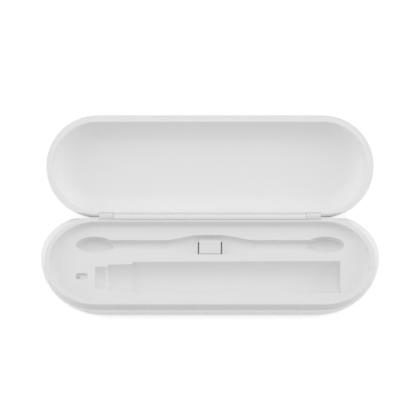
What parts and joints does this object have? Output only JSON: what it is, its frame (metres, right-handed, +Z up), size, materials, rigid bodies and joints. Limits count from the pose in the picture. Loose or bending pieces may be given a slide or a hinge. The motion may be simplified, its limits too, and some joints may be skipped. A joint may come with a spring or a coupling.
{
  "type": "toothbrush travel case",
  "caption": "Long rounded hard case with a hinged lid, opened far back, with a shaped tray for a toothbrush handle and spare heads.",
  "frame": {"origin": "under the middle of the base, in the plane of the undersides of its feet", "axes": "+X along the length of the case to the right, +Y to the hinge and the open lid, +Z up"},
  "size_m": [0.231, 0.1403, 0.0479],
  "materials": {
    "case_shell": "white moulded plastic, satin gloss",
    "tray": "white moulded plastic, fine matt texture",
    "liner": "white moulded plastic, smooth and soft",
    "divider": "white moulded plastic, soft satin",
    "plug": "white moulded plastic",
    "steel": "drawn steel wire",
    "screw": "zinc-plated steel",
    "magnet": "nickel-plated magnet",
    "foot": "pale grey soft rubber"
  },
  "bodies": {
    "base": {"base_shell": "case_shell", "base_tray": "tray", "head_divider": "divider", "hinge_pin": "steel", "hinge_plug_left": "plug", "hinge_plug_right": "plug", "base_magnet_left": "magnet", "base_magnet_right": "magnet", "screw_left_end": "screw", "screw_right_end": "screw", "screw_left_middle": "screw", "screw_right_middle": "screw", "foot_front_left": "foot", "foot_front_right": "foot", "foot_rear_left": "foot", "foot_rear_right": "foot"},
    "lid": {"lid_shell": "case_shell", "lid_liner": "liner", "lid_magnet_left": "magnet", "lid_magnet_right": "magnet"}
  },
  "joints": [
    {"name": "lid_hinge", "type": "hinge", "parent": "base", "child": "lid", "pos_m": [0, 0.03395, 0.0194], "axis": [1, 0, 0], "range_deg": [0, 156]}
  ]
}
